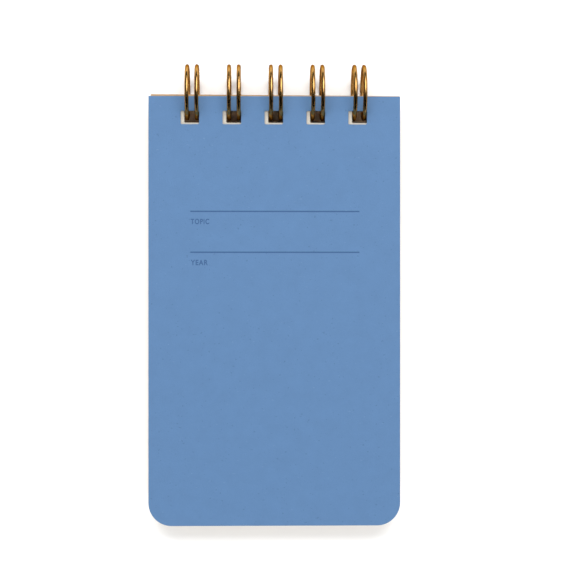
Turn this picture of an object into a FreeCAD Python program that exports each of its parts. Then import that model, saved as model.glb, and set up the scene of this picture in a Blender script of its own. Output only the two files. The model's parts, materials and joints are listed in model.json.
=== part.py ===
import FreeCAD, Part
import math
import os

import Sketcher

# A pocket notebook bound along its short top edge by one twin-loop wire.
# The pad lies front cover up: +X across the page, +Y towards the loops, +Z up.
# The loops and the far edge of the back board stand on the surface z = 0, so the
# pad slopes down a little towards -Y. The origin is the middle of its footprint.
#
# Every piece is first placed in the pad's own frame: its origin is on the centre
# line of the loops, +Y is along the page towards the loops, +Z out of the cover.

doc = FreeCAD.newDocument("pocket_notebook")

# ---------------------------------------------------------------- dimensions

DIMENSIONS = [
    # a sheet's outline, the same for the cover, the leaves and the board
    ("sheet_width", 76.2),
    ("sheet_length", 130.0),
    ("corner_radius", 7.0),
    # the row of punched holes, measured from a sheet's top edge and middle; the
    # leaves are punched a little nearer their top edge and further to the right
    ("hole_width", 5.6),
    ("hole_height", 4.1),
    ("hole_corner", 0.4),
    ("cover_hole_margin", 4.4),
    ("cover_hole_shift", -0.2),
    ("leaf_hole_margin", 4.0),
    ("leaf_hole_shift", 0.86),
    ("board_hole_margin", 4.2),
    ("board_hole_shift", -0.2),
    # thicknesses
    ("cover_thickness", 0.45),
    ("board_thickness", 1.25),
    ("leaf_thickness", 0.135),
    ("leaf_pitch", 0.146),
    ("leaf_count", 50),
    # the twin-loop wire, angles in degrees round the loop's centre line from +Y
    ("loop_count", 5),
    ("loop_pitch", 12.7),
    ("loop_radius", 7.9),
    ("wire_diameter", 1.25),
    ("twin_spacing", 2.94),
    ("base_bend_radius", 1.3),
    ("base_angle", -127.3),
    ("cut_end_angle", -120.0),
    ("tip_angle", -104.0),
    # where each sheet hangs on the wire: its middle across the page, its top
    # edge's distance below the centre line, and its turn in its own plane
    ("cover_shift", -0.4),
    ("cover_setback", 1.5),
    ("leaf_shift", -0.4),
    ("leaf_setback", 1.45),
    ("leaf_scatter", 0.05),
    ("board_shift", -0.15),
    ("board_setback", 0.28),
    ("board_turn", -0.3),
    ("board_drop", 5.5),
    # the board's binding strip, from its top edge to the plain part of its back
    ("binding_strip", 12.0),
]

dims = doc.addObject("Spreadsheet::Sheet", "Dims")
size = {}


def add_dimension(alias, value):
    """Put one number in the sheet, under its alias."""
    row = len(size) + 1
    dims.set(f"A{row}", alias)
    dims.set(f"B{row}", str(value))
    dims.setAlias(f"B{row}", alias)
    size[alias] = value


for alias, value in DIMENSIONS:
    add_dimension(alias, value)


# -------------------------------------------------- how the pad lies at rest

def resting_slope():
    """The pad's slope in degrees, lying on its loops and the board's far edge."""
    outer_radius = size["loop_radius"] + size["wire_diameter"] / 2
    turn = math.radians(abs(size["board_turn"]))
    corner = size["corner_radius"]
    drop = size["board_drop"]
    # the board's furthest point lies on the corner that its turn swings outwards
    far = (size["sheet_length"] - corner) * math.cos(turn) + corner + size["board_setback"]
    far += (size["sheet_width"] / 2 - corner) * math.sin(turn)
    return math.degrees(math.asin(outer_radius / math.hypot(far, drop)) - math.atan2(drop, far))


add_dimension("slope", round(resting_slope(), 5))


def footprint_middle():
    """The centre line's place over the middle of the footprint, as x and y."""
    slope = math.radians(size["slope"])
    half_width = size["sheet_width"] / 2
    turn = math.radians(abs(size["board_turn"]))
    board_reach = size["sheet_length"] - size["corner_radius"]
    left = size["board_shift"] - half_width - board_reach * math.sin(turn)
    right = size["board_shift"] + half_width
    cover_top = size["leaf_count"] * size["leaf_pitch"] + size["board_thickness"]
    cover_top += size["cover_thickness"] - size["board_drop"]
    far = (size["sheet_length"] + size["cover_setback"]) * math.cos(slope)
    far += cover_top * math.sin(slope)
    near = size["loop_radius"] + size["wire_diameter"] / 2
    return -(left + right) / 2, (far - near) / 2


for alias, value in zip(("centre_x", "centre_y"), footprint_middle()):
    add_dimension(alias, round(value, 4))

doc.recompute()

# the pad's frame in the part's frame
PAD_FRAME = (
    "placement(vector(Dims.centre_x; Dims.centre_y; Dims.loop_radius + Dims.wire_diameter / 2); "
    "rotation(vector(1; 0; 0); Dims.slope))"
)


def seat(piece, across="0", along="0", up="0", turn="0"):
    """Place a piece in the pad's frame: its offsets, and its turn about the pad's Z."""
    own = f"placement(vector({across}; {along}; {up}); rotation(vector(0; 0; 1); {turn}))"
    piece.setExpression("Placement", f"{PAD_FRAME} * {own}")


# ------------------------------------------------------------------- sheets

def value_of(formula):
    """The number that a formula over the sheet gives."""
    return float(dims.evalExpression(formula))


def hold(sketch, kind, line, formula):
    """Hold a line's start at a signed distance from the sketch's origin."""
    value = value_of(formula)
    ends = (-1, 1, line, 1)
    if value < 0:
        ends = (line, 1, -1, 1)
        formula = f"-({formula})"
    place = sketch.addConstraint(Sketcher.Constraint(kind, *ends, abs(value)))
    sketch.setExpression(f"Constraints[{place}]", formula)


def outline(sketch, left, right, bottom, top, radius, rounded):
    """Draw a rectangle with a radius on its first 0, 2 or 4 corners, lower ones first."""
    x0, x1, y0, y1, r = (value_of(formula) for formula in (left, right, bottom, top, radius))
    lower = r if rounded >= 2 else 0.0
    upper = r if rounded == 4 else 0.0
    runs = [
        ((x0, y1 - upper), (x0, y0 + lower)),
        ((x0 + lower, y0), (x1 - lower, y0)),
        ((x1, y0 + lower), (x1, y1 - upper)),
        ((x1 - upper, y1), (x0 + upper, y1)),
    ]
    corners = [(x0 + r, y0 + r), (x1 - r, y0 + r), (x1 - r, y1 - r), (x0 + r, y1 - r)]
    lines = []
    for start, end in runs:
        line = Part.LineSegment(FreeCAD.Vector(*start, 0), FreeCAD.Vector(*end, 0))
        lines.append(sketch.addGeometry(line))
    for number, (x, y) in enumerate(corners):
        before, after = lines[number], lines[(number + 1) % 4]
        if number >= rounded:
            sketch.addConstraint(Sketcher.Constraint("Coincident", before, 2, after, 1))
            continue
        circle = Part.Circle(FreeCAD.Vector(x, y, 0), FreeCAD.Vector(0, 0, 1), r)
        begin = math.pi + number * math.pi / 2
        arc = sketch.addGeometry(Part.ArcOfCircle(circle, begin, begin + math.pi / 2))
        sketch.addConstraint(Sketcher.Constraint("Tangent", before, 2, arc, 1))
        sketch.addConstraint(Sketcher.Constraint("Tangent", arc, 2, after, 1))
        bend = sketch.addConstraint(Sketcher.Constraint("Radius", arc, r))
        sketch.setExpression(f"Constraints[{bend}]", radius)
    for line, kind in zip(lines, ("Vertical", "Horizontal", "Vertical", "Horizontal")):
        sketch.addConstraint(Sketcher.Constraint(kind, line))
    hold(sketch, "DistanceX", lines[0], left)
    hold(sketch, "DistanceY", lines[1], bottom)
    hold(sketch, "DistanceX", lines[2], right)
    hold(sketch, "DistanceY", lines[3], top)


def ground_sketch(body, name):
    """A new sketch on the body's own XY plane."""
    sketch = body.newObject("Sketcher::SketchObject", name)
    planes = [item for item in body.Origin.OriginFeatures if item.Role == "XY_Plane"]
    sketch.AttachmentSupport = (planes[0], "")
    sketch.MapMode = "FlatFace"
    return sketch


def add_panel(body, name, thickness, bottom, top, rounded):
    """Pad a panel as wide as the sheet, with its lower corners rounded or all square."""
    sketch = ground_sketch(body, f"{name}_outline")
    half = "Dims.sheet_width / 2"
    outline(sketch, f"-{half}", half, bottom, top, "Dims.corner_radius", rounded)
    pad = body.newObject("PartDesign::Pad", name)
    pad.Profile = sketch
    pad.setExpression("Length", thickness)
    pad.Refine = False
    return pad


def punch_row(body, name, stock):
    """Punch one hole through the panel and repeat it along the binding edge."""
    sketch = ground_sketch(body, f"{name}_hole")
    middle = f"Dims.{stock}_hole_shift - (Dims.loop_count - 1) / 2 * Dims.loop_pitch"
    left = f"{middle} - Dims.hole_width / 2"
    right = f"{middle} + Dims.hole_width / 2"
    top = f"-Dims.{stock}_hole_margin"
    outline(sketch, left, right, f"{top} - Dims.hole_height", top, "Dims.hole_corner", 4)
    pocket = body.newObject("PartDesign::Pocket", f"{name}_punch")
    pocket.Profile = sketch
    pocket.Type = "ThroughAll"
    pocket.Reversed = True
    pocket.Refine = False
    row = body.newObject("PartDesign::LinearPattern", f"{name}_row")
    row.Originals = [pocket]
    row.Direction = (sketch, ["H_Axis"])
    row.setExpression("Length", "(Dims.loop_count - 1) * Dims.loop_pitch")
    row.setExpression("Occurrences", "Dims.loop_count")
    row.Refine = False
    body.Tip = row


def sheet(name, thickness, stock):
    """A punched sheet: its own origin is the middle of its top edge, on its back."""
    body = doc.addObject("PartDesign::Body", name)
    body.Label = name
    add_panel(body, f"{name}_pad", thickness, "-Dims.sheet_length", "0", 2)
    punch_row(body, name, stock)
    return body


def front_cover():
    """The card cover, hung a little low and to the left of the loops."""
    body = sheet("front_cover", "Dims.cover_thickness", "cover")
    height = "Dims.board_thickness - Dims.board_drop + Dims.leaf_count * Dims.leaf_pitch"
    seat(body, "Dims.cover_shift", "-Dims.cover_setback", height)
    return body


# each leaf is out of line by the sine of its number times these, in radians, so the
# stack wanders both ways without repeating
ACROSS_STEP = 2.4
ALONG_STEP = 1.7


def leaf(number):
    """One paper leaf, numbered from the cover down, a hair out of line with the next."""
    body = sheet(f"leaf_{number:02d}", "Dims.leaf_thickness", "leaf")
    across = f"Dims.leaf_shift + Dims.leaf_scatter * {math.sin(ACROSS_STEP * number):.3f}"
    along = f"-Dims.leaf_setback + Dims.leaf_scatter * {math.sin(ALONG_STEP * number):.3f}"
    # the leaves below, then half the gap that this leaf leaves in its own pitch
    height = (
        "Dims.board_thickness - Dims.board_drop"
        f" + (Dims.leaf_count - {number}) * Dims.leaf_pitch"
        " + (Dims.leaf_pitch - Dims.leaf_thickness) / 2"
    )
    seat(body, across, along, height)
    return body


def back_board():
    """The stiff board under the leaves; its binding strip is a panel of its own."""
    body = doc.addObject("PartDesign::Body", "back_board")
    body.Label = "back_board"
    split = "-Dims.binding_strip"
    add_panel(body, "board_strip", "Dims.board_thickness", split, "0", 0)
    add_panel(body, "board_panel", "Dims.board_thickness", "-Dims.sheet_length", split, 2)
    punch_row(body, "board", "board")
    seat(body, "Dims.board_shift", "-Dims.board_setback", "-Dims.board_drop", "Dims.board_turn")
    return body


# --------------------------------------------------------------------- wire

def on_loop(x, angle):
    """A point of the loops' cylinder."""
    turn = math.radians(angle)
    radius = size["loop_radius"]
    return FreeCAD.Vector(x, radius * math.cos(turn), radius * math.sin(turn))


def rising(angle):
    """The direction of rising angle round the loops at this angle."""
    turn = math.radians(angle)
    return FreeCAD.Vector(0, -math.sin(turn), math.cos(turn))


def loop_arc(x, start, end):
    """A stretch of one loop's wire, from one angle to another."""
    points = [on_loop(x, angle) for angle in (start, (start + end) / 2, end)]
    return Part.Arc(*points).toShape()


def finger_tip(middle):
    """The closed end of a twin loop: a half turn from its left wire to its right."""
    half = size["twin_spacing"] / 2
    tip = size["tip_angle"]
    apex = on_loop(middle, tip) - rising(tip) * half
    return Part.Arc(on_loop(middle - half, tip), apex, on_loop(middle + half, tip)).toShape()


def base_run(start_x, end_x):
    """The run under the board between two twin loops: a bend, a straight, a bend."""
    bend = size["base_bend_radius"]
    base = size["base_angle"]
    side = FreeCAD.Vector(bend, 0, 0)
    down = rising(base) * bend
    start, end = on_loop(start_x, base), on_loop(end_x, base)
    slant = 1 - math.sqrt(0.5)
    leave = Part.Arc(start, start + side * slant + down * math.sqrt(0.5), start + side + down)
    bar = Part.LineSegment(start + side + down, end - side + down)
    arrive = Part.Arc(end - side + down, end - side * slant + down * math.sqrt(0.5), end)
    return [leave.toShape(), bar.toShape(), arrive.toShape()]


def wire_path():
    """The wire's centre line: out and back round each loop, all in one length."""
    half = size["twin_spacing"] / 2
    tip = size["tip_angle"] - 360
    count = int(size["loop_count"])
    middles = [(number - (count - 1) / 2) * size["loop_pitch"] for number in range(count)]
    edges = []
    for number, middle in enumerate(middles):
        first, last = number == 0, number == count - 1
        begin = size["cut_end_angle"] if first else size["base_angle"]
        finish = size["cut_end_angle"] if last else size["base_angle"]
        edges.append(loop_arc(middle - half, begin, tip))
        edges.append(finger_tip(middle))
        edges.append(loop_arc(middle + half, tip, finish))
        if not last:
            edges += base_run(middle + half, middles[number + 1] - half)
    return Part.Wire(edges)


def wire_binding():
    """The twin-loop wire: a round section swept along the whole path."""
    path = doc.addObject("Part::Feature", "wire_path")
    path.Shape = wire_path()
    section = doc.addObject("Part::Circle", "wire_section")
    section.setExpression("Radius", "Dims.wire_diameter / 2")
    start = path.Shape.OrderedEdges[0]
    facing = FreeCAD.Rotation(FreeCAD.Vector(0, 0, 1), start.tangentAt(start.FirstParameter))
    section.Placement = FreeCAD.Placement(start.valueAt(start.FirstParameter), facing)
    wire = doc.addObject("Part::Sweep", "wire_binding")
    wire.Label = "wire_binding"
    wire.Sections = [section]
    wire.Spine = (path, [f"Edge{number + 1}" for number in range(len(path.Shape.Edges))])
    wire.Solid = True
    wire.Frenet = False
    seat(wire)
    return wire


# ---------------------------------------------------------- build and export

def check_document():
    """Stop if any object of the document failed to build."""
    for item in doc.Objects:
        if "Invalid" in item.State or "Error" in item.State:
            raise RuntimeError(f"{item.Name} did not build: {item.State}")


def check_shape(piece):
    """Stop unless a sub-part is one valid solid."""
    if piece.Shape.isNull() or not piece.Shape.isValid():
        raise RuntimeError(f"{piece.Label} has no valid shape")
    if len(piece.Shape.Solids) != 1:
        raise RuntimeError(f"{piece.Label} has {len(piece.Shape.Solids)} solids, not one")


# how far the swept wire's volume may be from the ideal one, as a fraction
WIRE_TOLERANCE = 0.005


def check_wire(wire):
    """Stop unless the swept wire holds its section's area times its length."""
    area = math.pi * size["wire_diameter"] ** 2 / 4
    expected = area * wire.Spine[0].Shape.Length
    if abs(wire.Shape.Volume / expected - 1) > WIRE_TOLERANCE:
        raise RuntimeError(f"the wire's volume is {wire.Shape.Volume:.2f}, not {expected:.2f}")


sub_parts = [front_cover()]
sub_parts += [leaf(number) for number in range(1, int(size["leaf_count"]) + 1)]
sub_parts.append(back_board())
sub_parts.append(wire_binding())
doc.recompute()

check_document()
for sub_part in sub_parts:
    check_shape(sub_part)
check_wire(sub_parts[-1])

os.makedirs("parts", exist_ok=True)
for sub_part in sub_parts:
    sub_part.Shape.exportStep(f"parts/{sub_part.Label}.step")
print(f"wrote {len(sub_parts)} sub-parts, slope {size['slope']:.3f} degrees")
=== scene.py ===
import json
import math
import random

import bpy
from mathutils import Matrix, Vector


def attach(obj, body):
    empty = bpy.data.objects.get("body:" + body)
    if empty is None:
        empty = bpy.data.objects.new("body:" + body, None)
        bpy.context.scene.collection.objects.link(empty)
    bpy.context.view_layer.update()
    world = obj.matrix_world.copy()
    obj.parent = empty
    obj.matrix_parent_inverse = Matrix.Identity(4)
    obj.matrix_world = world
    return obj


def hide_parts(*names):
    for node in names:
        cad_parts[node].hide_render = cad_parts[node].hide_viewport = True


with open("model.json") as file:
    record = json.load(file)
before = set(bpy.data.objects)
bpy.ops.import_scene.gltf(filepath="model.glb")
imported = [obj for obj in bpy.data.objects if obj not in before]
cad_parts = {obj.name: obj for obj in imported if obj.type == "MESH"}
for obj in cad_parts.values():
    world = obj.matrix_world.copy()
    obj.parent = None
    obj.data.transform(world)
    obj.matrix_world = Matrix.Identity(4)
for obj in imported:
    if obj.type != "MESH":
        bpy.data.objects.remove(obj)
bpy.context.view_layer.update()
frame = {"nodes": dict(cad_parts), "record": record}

# A pocket notebook, top bound by one twin-loop wire. The frame gives the pieces, where
# they lie and how they turn; this script gives them their surfaces and finer shapes.

MM = 0.001

# ------------------------------------------------------------- the pad's own frame
# Its origin is on the loops' centre line, +Y runs along the page towards the loops
# and +Z comes out of the cover. The frame's hinges and back mount say where it is.

record = frame["record"]
centre_line = Vector(record["behaviour"]["joints"][0]["pos_m"])
back_axis = Vector(record["mounts"][0]["axis"])
slope = math.atan2(back_axis.y, -back_axis.z)
PAD = Matrix.Translation(centre_line) @ Matrix.Rotation(slope, 4, "X")

# the punched sheets
SHEET_WIDTH = 76.2 * MM
SHEET_LENGTH = 130.0 * MM
CORNER_RADIUS = 7.0 * MM
HOLE_WIDTH = 5.6 * MM
HOLE_HEIGHT = 4.1 * MM
HOLE_CORNER = 0.4 * MM
HOLE_ROW_SHIFT = -0.2 * MM
LOOP_COUNT = 5
LOOP_PITCH = 12.7 * MM

# each sheet's thickness, its holes' distance from its top edge, and its place
COVER_THICKNESS = 0.45 * MM
COVER_HOLE_MARGIN = 4.4 * MM
COVER_PLACE = Vector((-0.4, -1.5, 3.05)) * MM
BOARD_THICKNESS = 1.25 * MM
BOARD_HOLE_MARGIN = 4.2 * MM
BOARD_PLACE = Vector((-0.15, -0.28, -5.5)) * MM
BOARD_TURN = math.radians(-0.3)

# the wire, with its angles round the loops in degrees; each closed end lies a little
# beyond or short of the tip's angle
LOOP_RADIUS = 7.9 * MM
WIRE_RADIUS = 0.625 * MM
TWIN_SPACING = 2.94 * MM
BASE_BEND = 1.3 * MM
BASE_ANGLE = -127.3
CUT_END_ANGLE = -120.0
TIP_ANGLE = -104.0
TIP_SPREAD = (-0.2, 2.5)
TIP_SEED = 5

# the rounding of cut edges
COVER_SOFT_EDGE = 0.07 * MM
BOARD_SOFT_EDGE = 0.16 * MM

# how finely round shapes are divided
SHEET_CORNER_STEPS = 16
HOLE_CORNER_STEPS = 4
SOFT_EDGE_STEPS = 2
WIRE_SECTION_STEPS = 6
LOOP_STEP_DEGREES = 4.0
TIP_STEPS = 14
BEND_STEPS = 8


# --------------------------------------------------------------------- node helpers


class Finish:
    """A material under construction: its node tree, its shader and shared coordinates."""

    # a Mix node keeps its two colours and their mix at these places in its sockets
    FIRST_COLOUR = 6
    SECOND_COLOUR = 7
    MIXED_COLOUR = 2

    def __init__(self, name):
        self.material = bpy.data.materials.new(name)
        self.material.use_nodes = True
        self.tree = self.material.node_tree
        self.shader = self.tree.nodes["Principled BSDF"]
        self.place = self.node("ShaderNodeTexCoord").outputs["Object"]

    def node(self, kind, **inputs):
        """Add a node; an input is a number or colour, or another node's output."""
        made = self.tree.nodes.new(kind)
        for name, value in inputs.items():
            self.feed(made.inputs[name.replace("_", " ")], value)
        return made

    def feed(self, socket, value):
        """Link a socket to another node's output, or set its value."""
        if isinstance(value, bpy.types.NodeSocket):
            self.tree.links.new(value, socket)
        else:
            socket.default_value = value

    def stretched(self, scale, turn):
        """The coordinates scaled per axis, in cells per metre, and turned about Z in radians."""
        made = self.node("ShaderNodeMapping", Vector=self.place)
        made.inputs["Scale"].default_value = scale
        made.inputs["Rotation"].default_value = (0.0, 0.0, turn)
        return made.outputs["Vector"]

    def noise(self, scale, detail=3.0, roughness=0.5, place=None, distortion=0.0):
        """Noise from 0 to 1, with its scale in cells per metre."""
        made = self.node(
            "ShaderNodeTexNoise",
            Vector=place or self.place,
            Scale=scale,
            Detail=detail,
            Roughness=roughness,
            Distortion=distortion,
        )
        return made.outputs["Fac"]

    def remap(self, value, source, target=(0.0, 1.0)):
        """Stretch a value's source range to a target range, and hold it at the ends."""
        made = self.node(
            "ShaderNodeMapRange",
            Value=value,
            From_Min=source[0],
            From_Max=source[1],
            To_Min=target[0],
            To_Max=target[1],
        )
        return made.outputs["Result"]

    def math(self, operation, first, second):
        """Work out one number from two."""
        made = self.tree.nodes.new("ShaderNodeMath")
        made.operation = operation
        self.feed(made.inputs[0], first)
        self.feed(made.inputs[1], second)
        return made.outputs["Value"]

    def mix(self, amount, first, second):
        """Mix two colours."""
        made = self.tree.nodes.new("ShaderNodeMix")
        made.data_type = "RGBA"
        self.feed(made.inputs["Factor"], amount)
        self.feed(made.inputs[self.FIRST_COLOUR], first)
        self.feed(made.inputs[self.SECOND_COLOUR], second)
        return made.outputs[self.MIXED_COLOUR]

    def bump(self, height, depth):
        """Raise the surface by up to a depth in metres."""
        made = self.node("ShaderNodeBump", Height=height, Distance=depth, Strength=1.0)
        self.feed(self.shader.inputs["Normal"], made.outputs["Normal"])

    def set(self, **inputs):
        """Set the shader's own inputs."""
        for name, value in inputs.items():
            self.feed(self.shader.inputs[name.replace("_", " ")], value)


def colour(red, green, blue, level=1.0):
    """A linear colour, darkened or lightened by one level."""
    return (red * level, green * level, blue * level, 1.0)


def grey(level):
    """A grey of one linear level."""
    return colour(level, level, level)


# ----------------------------------------------------------------------- materials
# Patterns are sized in cells per metre, so a pattern of 1000 has cells of 1 mm. Flecks
# are the peaks of a noise, each with a short soft edge.

# noise seldom leaves this range, which is stretched to run from 0 to 1
NOISE_RANGE = (0.3, 0.7)

CARD_CLOUDS = 210.0
CARD_FIBRE_LENGTH = 1300.0
CARD_FIBRE_WIDTH = 4600.0
CARD_FIBRE_SHOW = 0.13
CARD_DARK_FLECKS = 1500.0
CARD_DARK_PEAKS = (0.70, 0.74)
CARD_DARK_SHOW = 0.55
CARD_LIGHT_FLECKS = (700.0, 2100.0, 2100.0)
CARD_LIGHT_PEAKS = (0.755, 0.79)
CARD_LIGHT_SHOW = 0.5
CARD_TOOTH = 6200.0
CARD_TOOTH_SHARE = 0.8

PAPER_CLOUDS = 340.0
PAPER_FIBRE_LENGTH = 700.0
PAPER_FIBRE_WIDTH = 6200.0
PAPER_FIBRE_SHOW = 0.1
PAPER_GRAIN = 0.012 * MM

PATINA_CLOUDS = 420.0
PATINA_STAINS = 900.0
STAIN_SHOW = 0.35
STAIN_DULLNESS = 0.25
DRAWN_MARKS = 2600.0
DRAWN_DEPTH = 0.001 * MM

INK_COVER = 5600.0
INK_GRAIN = 0.008 * MM

FLOOR_CLOUDS = 9.0


def fibre_height(finish, length_cells, width_cells):
    """Crossed paper fibres: thin noise stretched two ways, the brighter one on top."""
    long_in_x = finish.stretched((length_cells, width_cells, width_cells), turn=0.5)
    along = finish.noise(1.0, 2.0, place=long_in_x)
    long_in_y = finish.stretched((width_cells, length_cells, width_cells), turn=0.25)
    across = finish.noise(1.0, 2.0, place=long_in_y)
    return finish.math("MAXIMUM", along, across)


def card_finish(name, base, light_fleck, dark_fleck, mottle, roughness, grain):
    """Dyed or bare card: cloudy dye, crossed fibres and two kinds of fleck."""
    finish = Finish(name)
    cloud = finish.remap(finish.noise(CARD_CLOUDS, detail=5.0, roughness=0.6), NOISE_RANGE)
    fibres = finish.remap(fibre_height(finish, CARD_FIBRE_LENGTH, CARD_FIBRE_WIDTH), (0.42, 0.72))
    body = finish.mix(cloud, colour(*base, 1.0 - mottle), colour(*base, 1.0 + mottle))
    pale_fibres = finish.math("MULTIPLY", fibres, CARD_FIBRE_SHOW)
    body = finish.mix(pale_fibres, body, colour(*light_fleck))
    dark = finish.noise(CARD_DARK_FLECKS, detail=2.0, roughness=0.4)
    dark = finish.remap(dark, CARD_DARK_PEAKS, (0.0, CARD_DARK_SHOW))
    body = finish.mix(dark, body, colour(*dark_fleck))
    light = finish.noise(1.0, detail=1.0, place=finish.stretched(CARD_LIGHT_FLECKS, turn=1.1))
    light = finish.remap(light, CARD_LIGHT_PEAKS, (0.0, CARD_LIGHT_SHOW))
    body = finish.mix(light, body, colour(*light_fleck))
    finish.set(Base_Color=body)
    finish.set(Roughness=finish.remap(fibres, (0.0, 1.0), (roughness - 0.07, roughness + 0.05)))
    finish.set(Specular_IOR_Level=0.32)
    tooth = finish.math("MULTIPLY", finish.noise(CARD_TOOTH), CARD_TOOTH_SHARE)
    finish.bump(finish.math("ADD", fibres, tooth), grain)
    return finish.material


def paper_finish(name, tone):
    """Uncoated cream writing paper, a little lighter or darker from leaf to leaf."""
    finish = Finish(name)
    cream = (0.82, 0.75, 0.635)
    pale_fibre = (0.90, 0.86, 0.78)
    cloud = finish.remap(finish.noise(PAPER_CLOUDS, detail=4.0, roughness=0.55), NOISE_RANGE)
    fibres = finish.remap(fibre_height(finish, PAPER_FIBRE_LENGTH, PAPER_FIBRE_WIDTH), (0.4, 0.75))
    body = finish.mix(cloud, colour(*cream, tone * 0.975), colour(*cream, tone * 1.02))
    pale_fibres = finish.math("MULTIPLY", fibres, PAPER_FIBRE_SHOW)
    body = finish.mix(pale_fibres, body, colour(*pale_fibre, tone))
    finish.set(Base_Color=body)
    finish.set(Roughness=finish.remap(fibres, (0.0, 1.0), (0.86, 0.94)))
    finish.set(Specular_IOR_Level=0.22)
    finish.bump(fibres, PAPER_GRAIN)
    return finish.material


def brass_finish(name):
    """Drawn brass wire, darkened to bronze: bright metal with a thin uneven patina."""
    finish = Finish(name)
    cloud = finish.remap(finish.noise(PATINA_CLOUDS, detail=4.0, roughness=0.6), (0.35, 0.7))
    blotches = finish.noise(PATINA_STAINS, detail=3.0, roughness=0.5, distortion=0.4)
    stain = finish.remap(blotches, (0.55, 0.8), (0.0, STAIN_SHOW))
    body = finish.mix(cloud, colour(0.46, 0.258, 0.085), colour(0.54, 0.315, 0.112))
    body = finish.mix(stain, body, colour(0.34, 0.18, 0.06))
    finish.set(Base_Color=body, Metallic=1.0)
    finish.set(Specular_Tint=colour(0.26, 0.16, 0.09))
    polish = finish.remap(cloud, (0.0, 1.0), (0.23, 0.28))
    finish.set(Roughness=finish.math("ADD", polish, finish.math("MULTIPLY", stain, STAIN_DULLNESS)))
    finish.bump(finish.noise(DRAWN_MARKS, detail=2.0), DRAWN_DEPTH)
    return finish.material


def ink_finish(name):
    """Printing ink a shade darker than the card, thin enough to show its tooth."""
    finish = Finish(name)
    cover = finish.remap(finish.noise(INK_COVER, detail=3.0, roughness=0.6), NOISE_RANGE)
    body = finish.mix(cover, colour(0.030, 0.115, 0.300), colour(0.040, 0.136, 0.335))
    finish.set(Base_Color=body)
    finish.set(Roughness=finish.remap(cover, (0.0, 1.0), (0.55, 0.68)))
    finish.bump(finish.noise(CARD_TOOTH), INK_GRAIN)
    return finish.material


def floor_finish():
    """A plain pale studio surface with the least trace of unevenness."""
    finish = Finish("studio_floor")
    cloud = finish.remap(finish.noise(FLOOR_CLOUDS, detail=2.0), NOISE_RANGE)
    finish.set(Base_Color=finish.mix(cloud, grey(0.93), grey(0.95)))
    finish.set(Roughness=0.9)
    finish.set(Specular_IOR_Level=0.1)
    return finish.material


# -------------------------------------------------------------------------- shapes

# a face is part of a sheet's front or back when its normal rises by more than this
FLAT_ENOUGH = 0.6


def arc_points(centre, radius, start, turn, steps):
    """Points along an arc in a plane, angles in degrees."""
    angles = [math.radians(start + turn * step / steps) for step in range(steps + 1)]
    return [Vector((centre[0] + radius * math.cos(a), centre[1] + radius * math.sin(a))) for a in angles]


def rectangle(left, right, bottom, top, radius, steps, round_top=True):
    """A rectangle with its lower corners rounded, and its upper ones too if asked."""
    points = arc_points((left + radius, bottom + radius), radius, 180, 90, steps)
    points += arc_points((right - radius, bottom + radius), radius, 270, 90, steps)
    if round_top:
        points += arc_points((right - radius, top - radius), radius, 0, 90, steps)
        points += arc_points((left + radius, top - radius), radius, 90, 90, steps)
    else:
        points += [Vector((right, top)), Vector((left, top))]
    return points


def hole_outlines(margin):
    """The row of punched holes, from a sheet's top edge and middle."""
    outlines = []
    for number in range(LOOP_COUNT):
        middle = HOLE_ROW_SHIFT + (number - (LOOP_COUNT - 1) / 2) * LOOP_PITCH
        left = middle - HOLE_WIDTH / 2
        bottom = -margin - HOLE_HEIGHT
        hole = rectangle(left, left + HOLE_WIDTH, bottom, -margin, HOLE_CORNER, HOLE_CORNER_STEPS)
        outlines.append(hole)
    return outlines


def mesh_object(name, mesh, body):
    """Show a mesh as a piece that rides on a body."""
    made = bpy.data.objects.new(name, mesh)
    bpy.context.scene.collection.objects.link(made)
    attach(made, body)
    return made


def curve_to_mesh(curve, name):
    """The mesh of a curve or text, and nothing left of the curve itself."""
    holder = bpy.data.objects.new(name, curve)
    bpy.context.scene.collection.objects.link(holder)
    shown = holder.evaluated_get(bpy.context.evaluated_depsgraph_get())
    mesh = bpy.data.meshes.new_from_object(shown)
    bpy.data.objects.remove(holder)
    bpy.data.curves.remove(curve)
    mesh.name = name
    return mesh


def flat_mesh(name, outlines, thickness, soft_edge):
    """A flat plate with softened edges, its back on z = 0."""
    curve = bpy.data.curves.new(name, "CURVE")
    curve.dimensions = "2D"
    curve.fill_mode = "BOTH"
    curve.extrude = thickness / 2 - soft_edge
    curve.bevel_depth = soft_edge
    curve.bevel_resolution = SOFT_EDGE_STEPS
    curve.offset = -soft_edge
    for outline in outlines:
        spline = curve.splines.new("POLY")
        spline.points.add(len(outline) - 1)
        for point, place in zip(spline.points, outline):
            point.co = (place.x, place.y, 0.0, 1.0)
        spline.use_cyclic_u = True
    mesh = curve_to_mesh(curve, name)
    mesh.transform(Matrix.Translation((0, 0, thickness / 2)))
    return mesh


def punched_sheet(name, thickness, hole_margin, soft_edge, face, edge):
    """The mesh of a punched sheet, its faces one material and its cut edges another."""
    half = SHEET_WIDTH / 2
    outline = rectangle(-half, half, -SHEET_LENGTH, 0.0, CORNER_RADIUS, SHEET_CORNER_STEPS, round_top=False)
    mesh = flat_mesh(name, [outline] + hole_outlines(hole_margin), thickness, soft_edge)
    mesh.materials.append(face)
    mesh.materials.append(edge)
    for polygon in mesh.polygons:
        polygon.material_index = 0 if abs(polygon.normal.z) > FLAT_ENOUGH else 1
    return mesh


# ------------------------------------------------------------------------ printing

RULE_LEFT = 12.65 * MM
RULE_LENGTH = 51.2 * MM
RULE_WIDTH = 0.42 * MM
RULE_CORNER = 0.04 * MM
RULE_CORNER_STEPS = 3
INK_DEPTH = 0.02 * MM
LETTER_HEIGHT = 1.65 * MM
LETTER_SPACING = 1.18
LETTER_WEIGHT = 0.065 * MM
# the height of a capital in Blender's own typeface, as a share of its size
CAPITAL_SHARE = 0.7
LABEL_INDENT = 0.1 * MM
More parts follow.
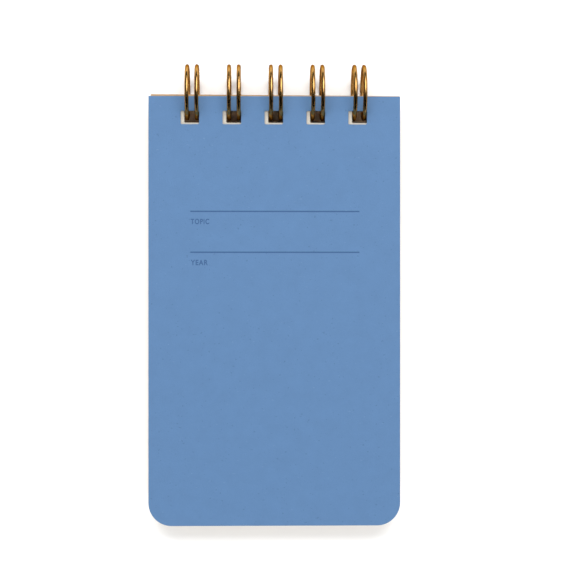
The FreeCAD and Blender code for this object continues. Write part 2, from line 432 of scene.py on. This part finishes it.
# each field has a generic word; its rule and its label's base line are measured down
# from the cover's top edge
FIELDS = [
    {"word": "TOPIC", "word_width": 5.6 * MM, "rule_down": 34.85 * MM, "base_down": 38.75 * MM},
    {"word": "YEAR", "word_width": 5.2 * MM, "rule_down": 47.22 * MM, "base_down": 51.15 * MM},
]


def on_cover(mesh, across, down):
    """Lay flat printing on the cover, from its left and top edges."""
    lift = COVER_THICKNESS - INK_DEPTH / 2
    spot = Vector((across - SHEET_WIDTH / 2, -down, lift))
    mesh.transform(PAD @ Matrix.Translation(COVER_PLACE + spot))


def rule_line(number, down, ink):
    """A printed writing rule with nearly square ends."""
    half = RULE_WIDTH / 2
    outline = rectangle(0.0, RULE_LENGTH, -half, half, RULE_CORNER, RULE_CORNER_STEPS)
    mesh = flat_mesh(f"rule_{number}", [outline], INK_DEPTH, INK_DEPTH / 4)
    on_cover(mesh, RULE_LEFT, down)
    mesh.materials.append(ink)
    return mesh_object(f"rule_{number}", mesh, "front_cover")


def label(number, word, width, down, ink):
    """A small printed field label, letter-spaced to its width."""
    text = bpy.data.curves.new(f"label_{number}", "FONT")
    text.body = word
    text.size = LETTER_HEIGHT / CAPITAL_SHARE
    text.space_character = LETTER_SPACING
    text.extrude = INK_DEPTH / 2
    text.offset = LETTER_WEIGHT
    mesh = curve_to_mesh(text, f"label_{number}")
    across = [vertex.co.x for vertex in mesh.vertices]
    up = [vertex.co.y for vertex in mesh.vertices]
    wide, tall = max(across) - min(across), max(up) - min(up)
    fit = Matrix.Diagonal((width / wide, LETTER_HEIGHT / tall, 1.0, 1.0))
    lift = Vector((0, 0, INK_DEPTH / 2))
    mesh.transform(Matrix.Translation(lift) @ fit @ Matrix.Translation((-min(across), -min(up), 0)))
    on_cover(mesh, RULE_LEFT + LABEL_INDENT, down)
    mesh.materials.append(ink)
    return mesh_object(f"label_{number}", mesh, "front_cover")


# ---------------------------------------------------------------------------- wire
# An angle round the loops is in degrees, from the page's upward direction towards the
# cover's side.


def on_loop(x, angle):
    """A point of the loops' cylinder, in the pad's frame."""
    turn = math.radians(angle)
    return Vector((x, LOOP_RADIUS * math.cos(turn), LOOP_RADIUS * math.sin(turn)))


def rising(angle):
    """The direction of rising angle round the loops."""
    turn = math.radians(angle)
    return Vector((0, -math.sin(turn), math.cos(turn)))


def ring_points(x, start, end):
    """One loop's wire from one angle to another."""
    count = round(abs(end - start) / LOOP_STEP_DEGREES)
    return [on_loop(x, start + (end - start) * index / count) for index in range(count + 1)]


def tip_points(middle, tip):
    """The closed end of a twin loop: a half turn from its left wire to its right."""
    half = TWIN_SPACING / 2
    centre = on_loop(middle, tip)
    forward = -rising(tip)
    left = Vector((-1, 0, 0))
    angles = [math.pi * index / TIP_STEPS for index in range(1, TIP_STEPS)]
    return [centre + (left * math.cos(a) + forward * math.sin(a)) * half for a in angles]


def base_points(start_x, end_x):
    """The run under the board between two twin loops: a bend, a straight, a bend."""
    down = rising(BASE_ANGLE)
    side = Vector((1, 0, 0))
    leave = on_loop(start_x, BASE_ANGLE) + side * BASE_BEND
    arrive = on_loop(end_x, BASE_ANGLE) - side * BASE_BEND
    angles = [math.pi / 2 * index / BEND_STEPS for index in range(1, BEND_STEPS + 1)]
    out = [leave + (-side * math.cos(a) + down * math.sin(a)) * BASE_BEND for a in angles]
    back = [arrive + (side * math.cos(a) + down * math.sin(a)) * BASE_BEND for a in reversed(angles)]
    return out + back


def wire_points():
    """The wire's centre line in one length, each twin loop closed a little differently."""
    chance = random.Random(TIP_SEED)
    half = TWIN_SPACING / 2
    middles = [(number - (LOOP_COUNT - 1) / 2) * LOOP_PITCH for number in range(LOOP_COUNT)]
    points = []
    for number, middle in enumerate(middles):
        is_last = number == LOOP_COUNT - 1
        start = CUT_END_ANGLE if number == 0 else BASE_ANGLE
        end = CUT_END_ANGLE if is_last else BASE_ANGLE
        tip = TIP_ANGLE + chance.uniform(*TIP_SPREAD)
        points += ring_points(middle - half, start, tip - 360)
        points += tip_points(middle, tip)
        points += ring_points(middle + half, tip - 360, end)
        if not is_last:
            points += base_points(middle + half, middles[number + 1] - half)
    return points


def wire_binding(material):
    """The twin-loop wire as one smooth tube with nipped ends."""
    curve = bpy.data.curves.new("twin_loop_wire", "CURVE")
    curve.dimensions = "3D"
    curve.bevel_depth = WIRE_RADIUS
    curve.bevel_resolution = WIRE_SECTION_STEPS
    curve.use_fill_caps = True
    points = wire_points()
    spline = curve.splines.new("POLY")
    spline.points.add(len(points) - 1)
    for point, place in zip(spline.points, points):
        point.co = (*place, 1.0)
    mesh = curve_to_mesh(curve, "twin_loop_wire")
    for polygon in mesh.polygons:
        polygon.use_smooth = len(polygon.vertices) == 4
    mesh.transform(PAD)
    mesh.materials.append(material)
    piece = mesh_object("twin_loop_wire", mesh, "binding")
    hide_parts("wire_binding")
    return piece


# ------------------------------------------------------------------------- assembly

# the shades of paper that follow one another through the block of leaves
LEAF_TONES = (1.0, 0.975, 1.02, 0.95)
LEAF_TONE_STEP = 7

cover_card = card_finish(
    "cover_card",
    base=(0.130, 0.270, 0.515),
    light_fleck=(0.21, 0.37, 0.61),
    dark_fleck=(0.08, 0.17, 0.34),
    mottle=0.03,
    roughness=0.80,
    grain=0.014 * MM,
)
cover_core = card_finish(
    "cover_core",
    base=(0.20, 0.35, 0.58),
    light_fleck=(0.34, 0.50, 0.72),
    dark_fleck=(0.12, 0.22, 0.40),
    mottle=0.06,
    roughness=0.88,
    grain=0.02 * MM,
)
kraft_board = card_finish(
    "kraft_board",
    base=(0.62, 0.38, 0.18),
    light_fleck=(0.78, 0.58, 0.36),
    dark_fleck=(0.33, 0.18, 0.08),
    mottle=0.07,
    roughness=0.84,
    grain=0.03 * MM,
)
kraft_core = card_finish(
    "kraft_core",
    base=(0.66, 0.41, 0.20),
    light_fleck=(0.80, 0.60, 0.38),
    dark_fleck=(0.37, 0.21, 0.10),
    mottle=0.12,
    roughness=0.90,
    grain=0.05 * MM,
)
printing_ink = ink_finish("printing_ink")

cover_mesh = punched_sheet(
    "cover_sheet", COVER_THICKNESS, COVER_HOLE_MARGIN, COVER_SOFT_EDGE, cover_card, cover_core
)
cover_mesh.transform(PAD @ Matrix.Translation(COVER_PLACE))
cover = mesh_object("cover_sheet", cover_mesh, "front_cover")
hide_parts("front_cover")

board_mesh = punched_sheet(
    "board_sheet", BOARD_THICKNESS, BOARD_HOLE_MARGIN, BOARD_SOFT_EDGE, kraft_board, kraft_core
)
board_mesh.transform(PAD @ Matrix.Translation(BOARD_PLACE) @ Matrix.Rotation(BOARD_TURN, 4, "Z"))
board = mesh_object("board_sheet", board_mesh, "binding")
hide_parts("back_board")

wire = wire_binding(brass_finish("antique_brass"))

for number, field in enumerate(FIELDS, start=1):
    rule = rule_line(number, field["rule_down"], printing_ink)
    words = label(number, field["word"], field["word_width"], field["base_down"], printing_ink)

papers = [paper_finish(f"leaf_paper_{number}", tone) for number, tone in enumerate(LEAF_TONES)]
for name, node in frame["nodes"].items():
    if name.startswith("leaf_"):
        leaf_number = int(name.removeprefix("leaf_"))
        node.data.materials.clear()
        node.data.materials.append(papers[leaf_number * LEAF_TONE_STEP % len(papers)])


# ---------------------------------------------------------------------- the studio

FLOOR_REACH = 4.0

# the camera looks almost straight down on the cover, from a little left of its middle;
# the places that it stands over and aims at are measured from the cover's middle
CAMERA_HEIGHT = 535.0 * MM
CAMERA_PLACE = Vector((-7.4, 5.3, 0.0)) * MM
CAMERA_AIM = Vector((5.75, 5.3, 0.0)) * MM
VIEW_WIDTH = 177.7 * MM
NEAREST_SEEN = 10.0 * MM

# the dome's brightness at the horizon and overhead, and at the heights between
DOME_HORIZON = 0.68
DOME_OVERHEAD = 0.03
DOME_BANDS = ((0.3, 0.4), (0.65, 1.0), (0.90, 1.0), (0.955, 0.03))
DOME_STRENGTH = 0.85


def studio_floor():
    """A plain level floor, much wider than any view of it."""
    mesh = bpy.data.meshes.new("studio_floor")
    corners = [(-1, -1), (1, -1), (1, 1), (-1, 1)]
    mesh.from_pydata([(x * FLOOR_REACH, y * FLOOR_REACH, 0.0) for x, y in corners], [], [(0, 1, 2, 3)])
    mesh.materials.append(floor_finish())
    made = bpy.data.objects.new("studio_floor", mesh)
    bpy.context.scene.collection.objects.link(made)
    return made


def soft_panel(name, lean, towards, distance, size, radiance):
    """A soft light that leans from overhead towards a compass side of the loops.

    The angles are in degrees, and 0 is the page's upper side; distance and size are in
    metres, and radiance is the panel's brightness in watts per square metre and steradian.
    """
    tilt = math.radians(lean)
    side = math.radians(towards)
    out = Vector((math.sin(tilt) * math.sin(side), math.sin(tilt) * math.cos(side), math.cos(tilt)))
    data = bpy.data.lights.new(name, "AREA")
    data.shape = "RECTANGLE"
    data.size, data.size_y = size
    data.energy = math.pi * size[0] * size[1] * radiance
    made = bpy.data.objects.new(name, data)
    made.location = centre_line + out * distance
    made.rotation_euler = (-out).to_track_quat("-Z", "Y").to_euler()
    bpy.context.scene.collection.objects.link(made)
    return made


def studio_lights(floor):
    """Soft lights in three groups: for the whole pad, for the floor, and for the metal."""
    # these light the card, the paper and the floor, and leave no glare on the metal
    key = soft_panel("key_light", 33.0, 2.0, 0.62, (0.78, 0.36), 2.15)
    fill = soft_panel("near_fill", 55.0, 180.0, 0.65, (0.50, 0.25), 1.1)

    # these light the floor alone, so that it stays white round the pad
    floor_only = bpy.data.collections.new("floor_only")
    floor_only.objects.link(floor)
    far_glow = soft_panel("far_floor_light", 31.0, 0.0, 1.2, (1.2, 0.6), 4.2)
    near_glow = soft_panel("near_floor_light", 38.0, 180.0, 1.2, (1.2, 0.8), 1.1)
    for light in (far_glow, near_glow):
        light.light_linking.receiver_collection = floor_only

    for light in (key, fill, far_glow, near_glow):
        light.visible_glossy = False

    # these are the bright and dim panels that the metal mirrors
    streak = soft_panel("streak_panel", 34.0, 34.0, 0.62, (0.58, 0.62), 4.2)
    right_glow = soft_panel("right_panel", 63.0, 90.0, 0.65, (0.50, 0.30), 0.30)
    left_glow = soft_panel("left_panel", 63.0, -90.0, 0.65, (0.50, 0.30), 0.12)
    for light in (streak, right_glow, left_glow):
        light.visible_diffuse = False


def studio_dome():
    """A dome that is dark overhead, where the camera is, and that metal doesn't mirror."""
    world = bpy.data.worlds.new("studio")
    bpy.context.scene.world = world
    world.use_nodes = True
    sky = world.node_tree
    direction = sky.nodes.new("ShaderNodeTexCoord").outputs["Generated"]
    parts = sky.nodes.new("ShaderNodeSeparateXYZ")
    bands = sky.nodes.new("ShaderNodeValToRGB")
    sky.links.new(direction, parts.inputs["Vector"])
    sky.links.new(parts.outputs["Z"], bands.inputs["Fac"])
    stops = bands.color_ramp.elements
    stops[0].color = grey(DOME_HORIZON)
    stops[1].color = grey(DOME_OVERHEAD)
    for height, level in DOME_BANDS:
        stops.new(height).color = grey(level)
    background = sky.nodes["Background"]
    background.inputs["Strength"].default_value = DOME_STRENGTH
    sky.links.new(bands.outputs["Color"], background.inputs["Color"])
    world.cycles_visibility.glossy = False


def studio_camera():
    """The camera over the cover, its upper side towards the loops."""
    cover_middle = COVER_PLACE + Vector((0, -SHEET_LENGTH / 2, COVER_THICKNESS))
    aim = PAD @ (cover_middle + CAMERA_AIM)
    eye = PAD @ (cover_middle + CAMERA_PLACE + Vector((0, 0, CAMERA_HEIGHT)))
    back = (eye - aim).normalized()
    page_up = PAD.to_3x3() @ Vector((0, 1, 0))
    right = page_up.cross(back).normalized()
    upward = back.cross(right)
    made = bpy.data.objects.new("camera", bpy.data.cameras.new("camera"))
    made.matrix_world = Matrix.Translation(eye) @ Matrix((right, upward, back)).transposed().to_4x4()
    made.data.lens = made.data.sensor_width * (eye - aim).length / VIEW_WIDTH
    made.data.clip_start = NEAREST_SEEN
    bpy.context.scene.collection.objects.link(made)
    return made


studio_lights(studio_floor())
studio_dome()
bpy.context.scene.view_settings.view_transform = "Standard"
bpy.context.scene.camera = studio_camera()
